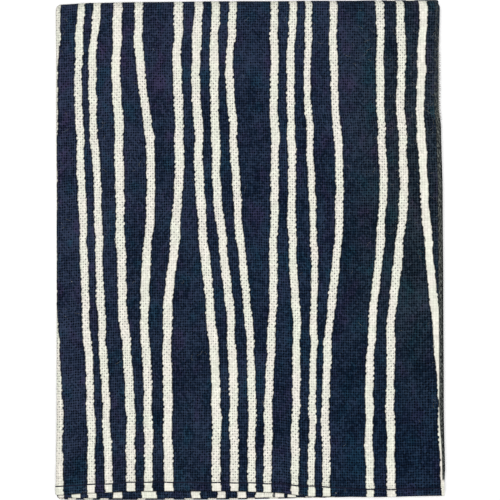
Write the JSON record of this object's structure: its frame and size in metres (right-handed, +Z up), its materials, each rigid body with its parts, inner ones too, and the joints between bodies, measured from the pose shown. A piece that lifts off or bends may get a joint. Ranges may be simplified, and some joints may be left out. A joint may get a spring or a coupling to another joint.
{
  "type": "folded handkerchief",
  "caption": "Thin cotton handkerchief with wavering pale stripes on indigo, folded across its width and in three along its length, lying flat.",
  "frame": {"origin": "middle of the bounding box on the surface that the folded cloth lies on", "axes": "+X across the stripes to the selvedge edge, +Y along the stripes to the top fold, +Z up out of the front panel"},
  "size_m": [0.0882, 0.1132, 0.0076],
  "materials": {
    "cotton": "matt plain-woven cotton, indigo with ivory stripes"
  },
  "bodies": {
    "root": {"folded_cloth": "cotton"}
  },
  "joints": []
}
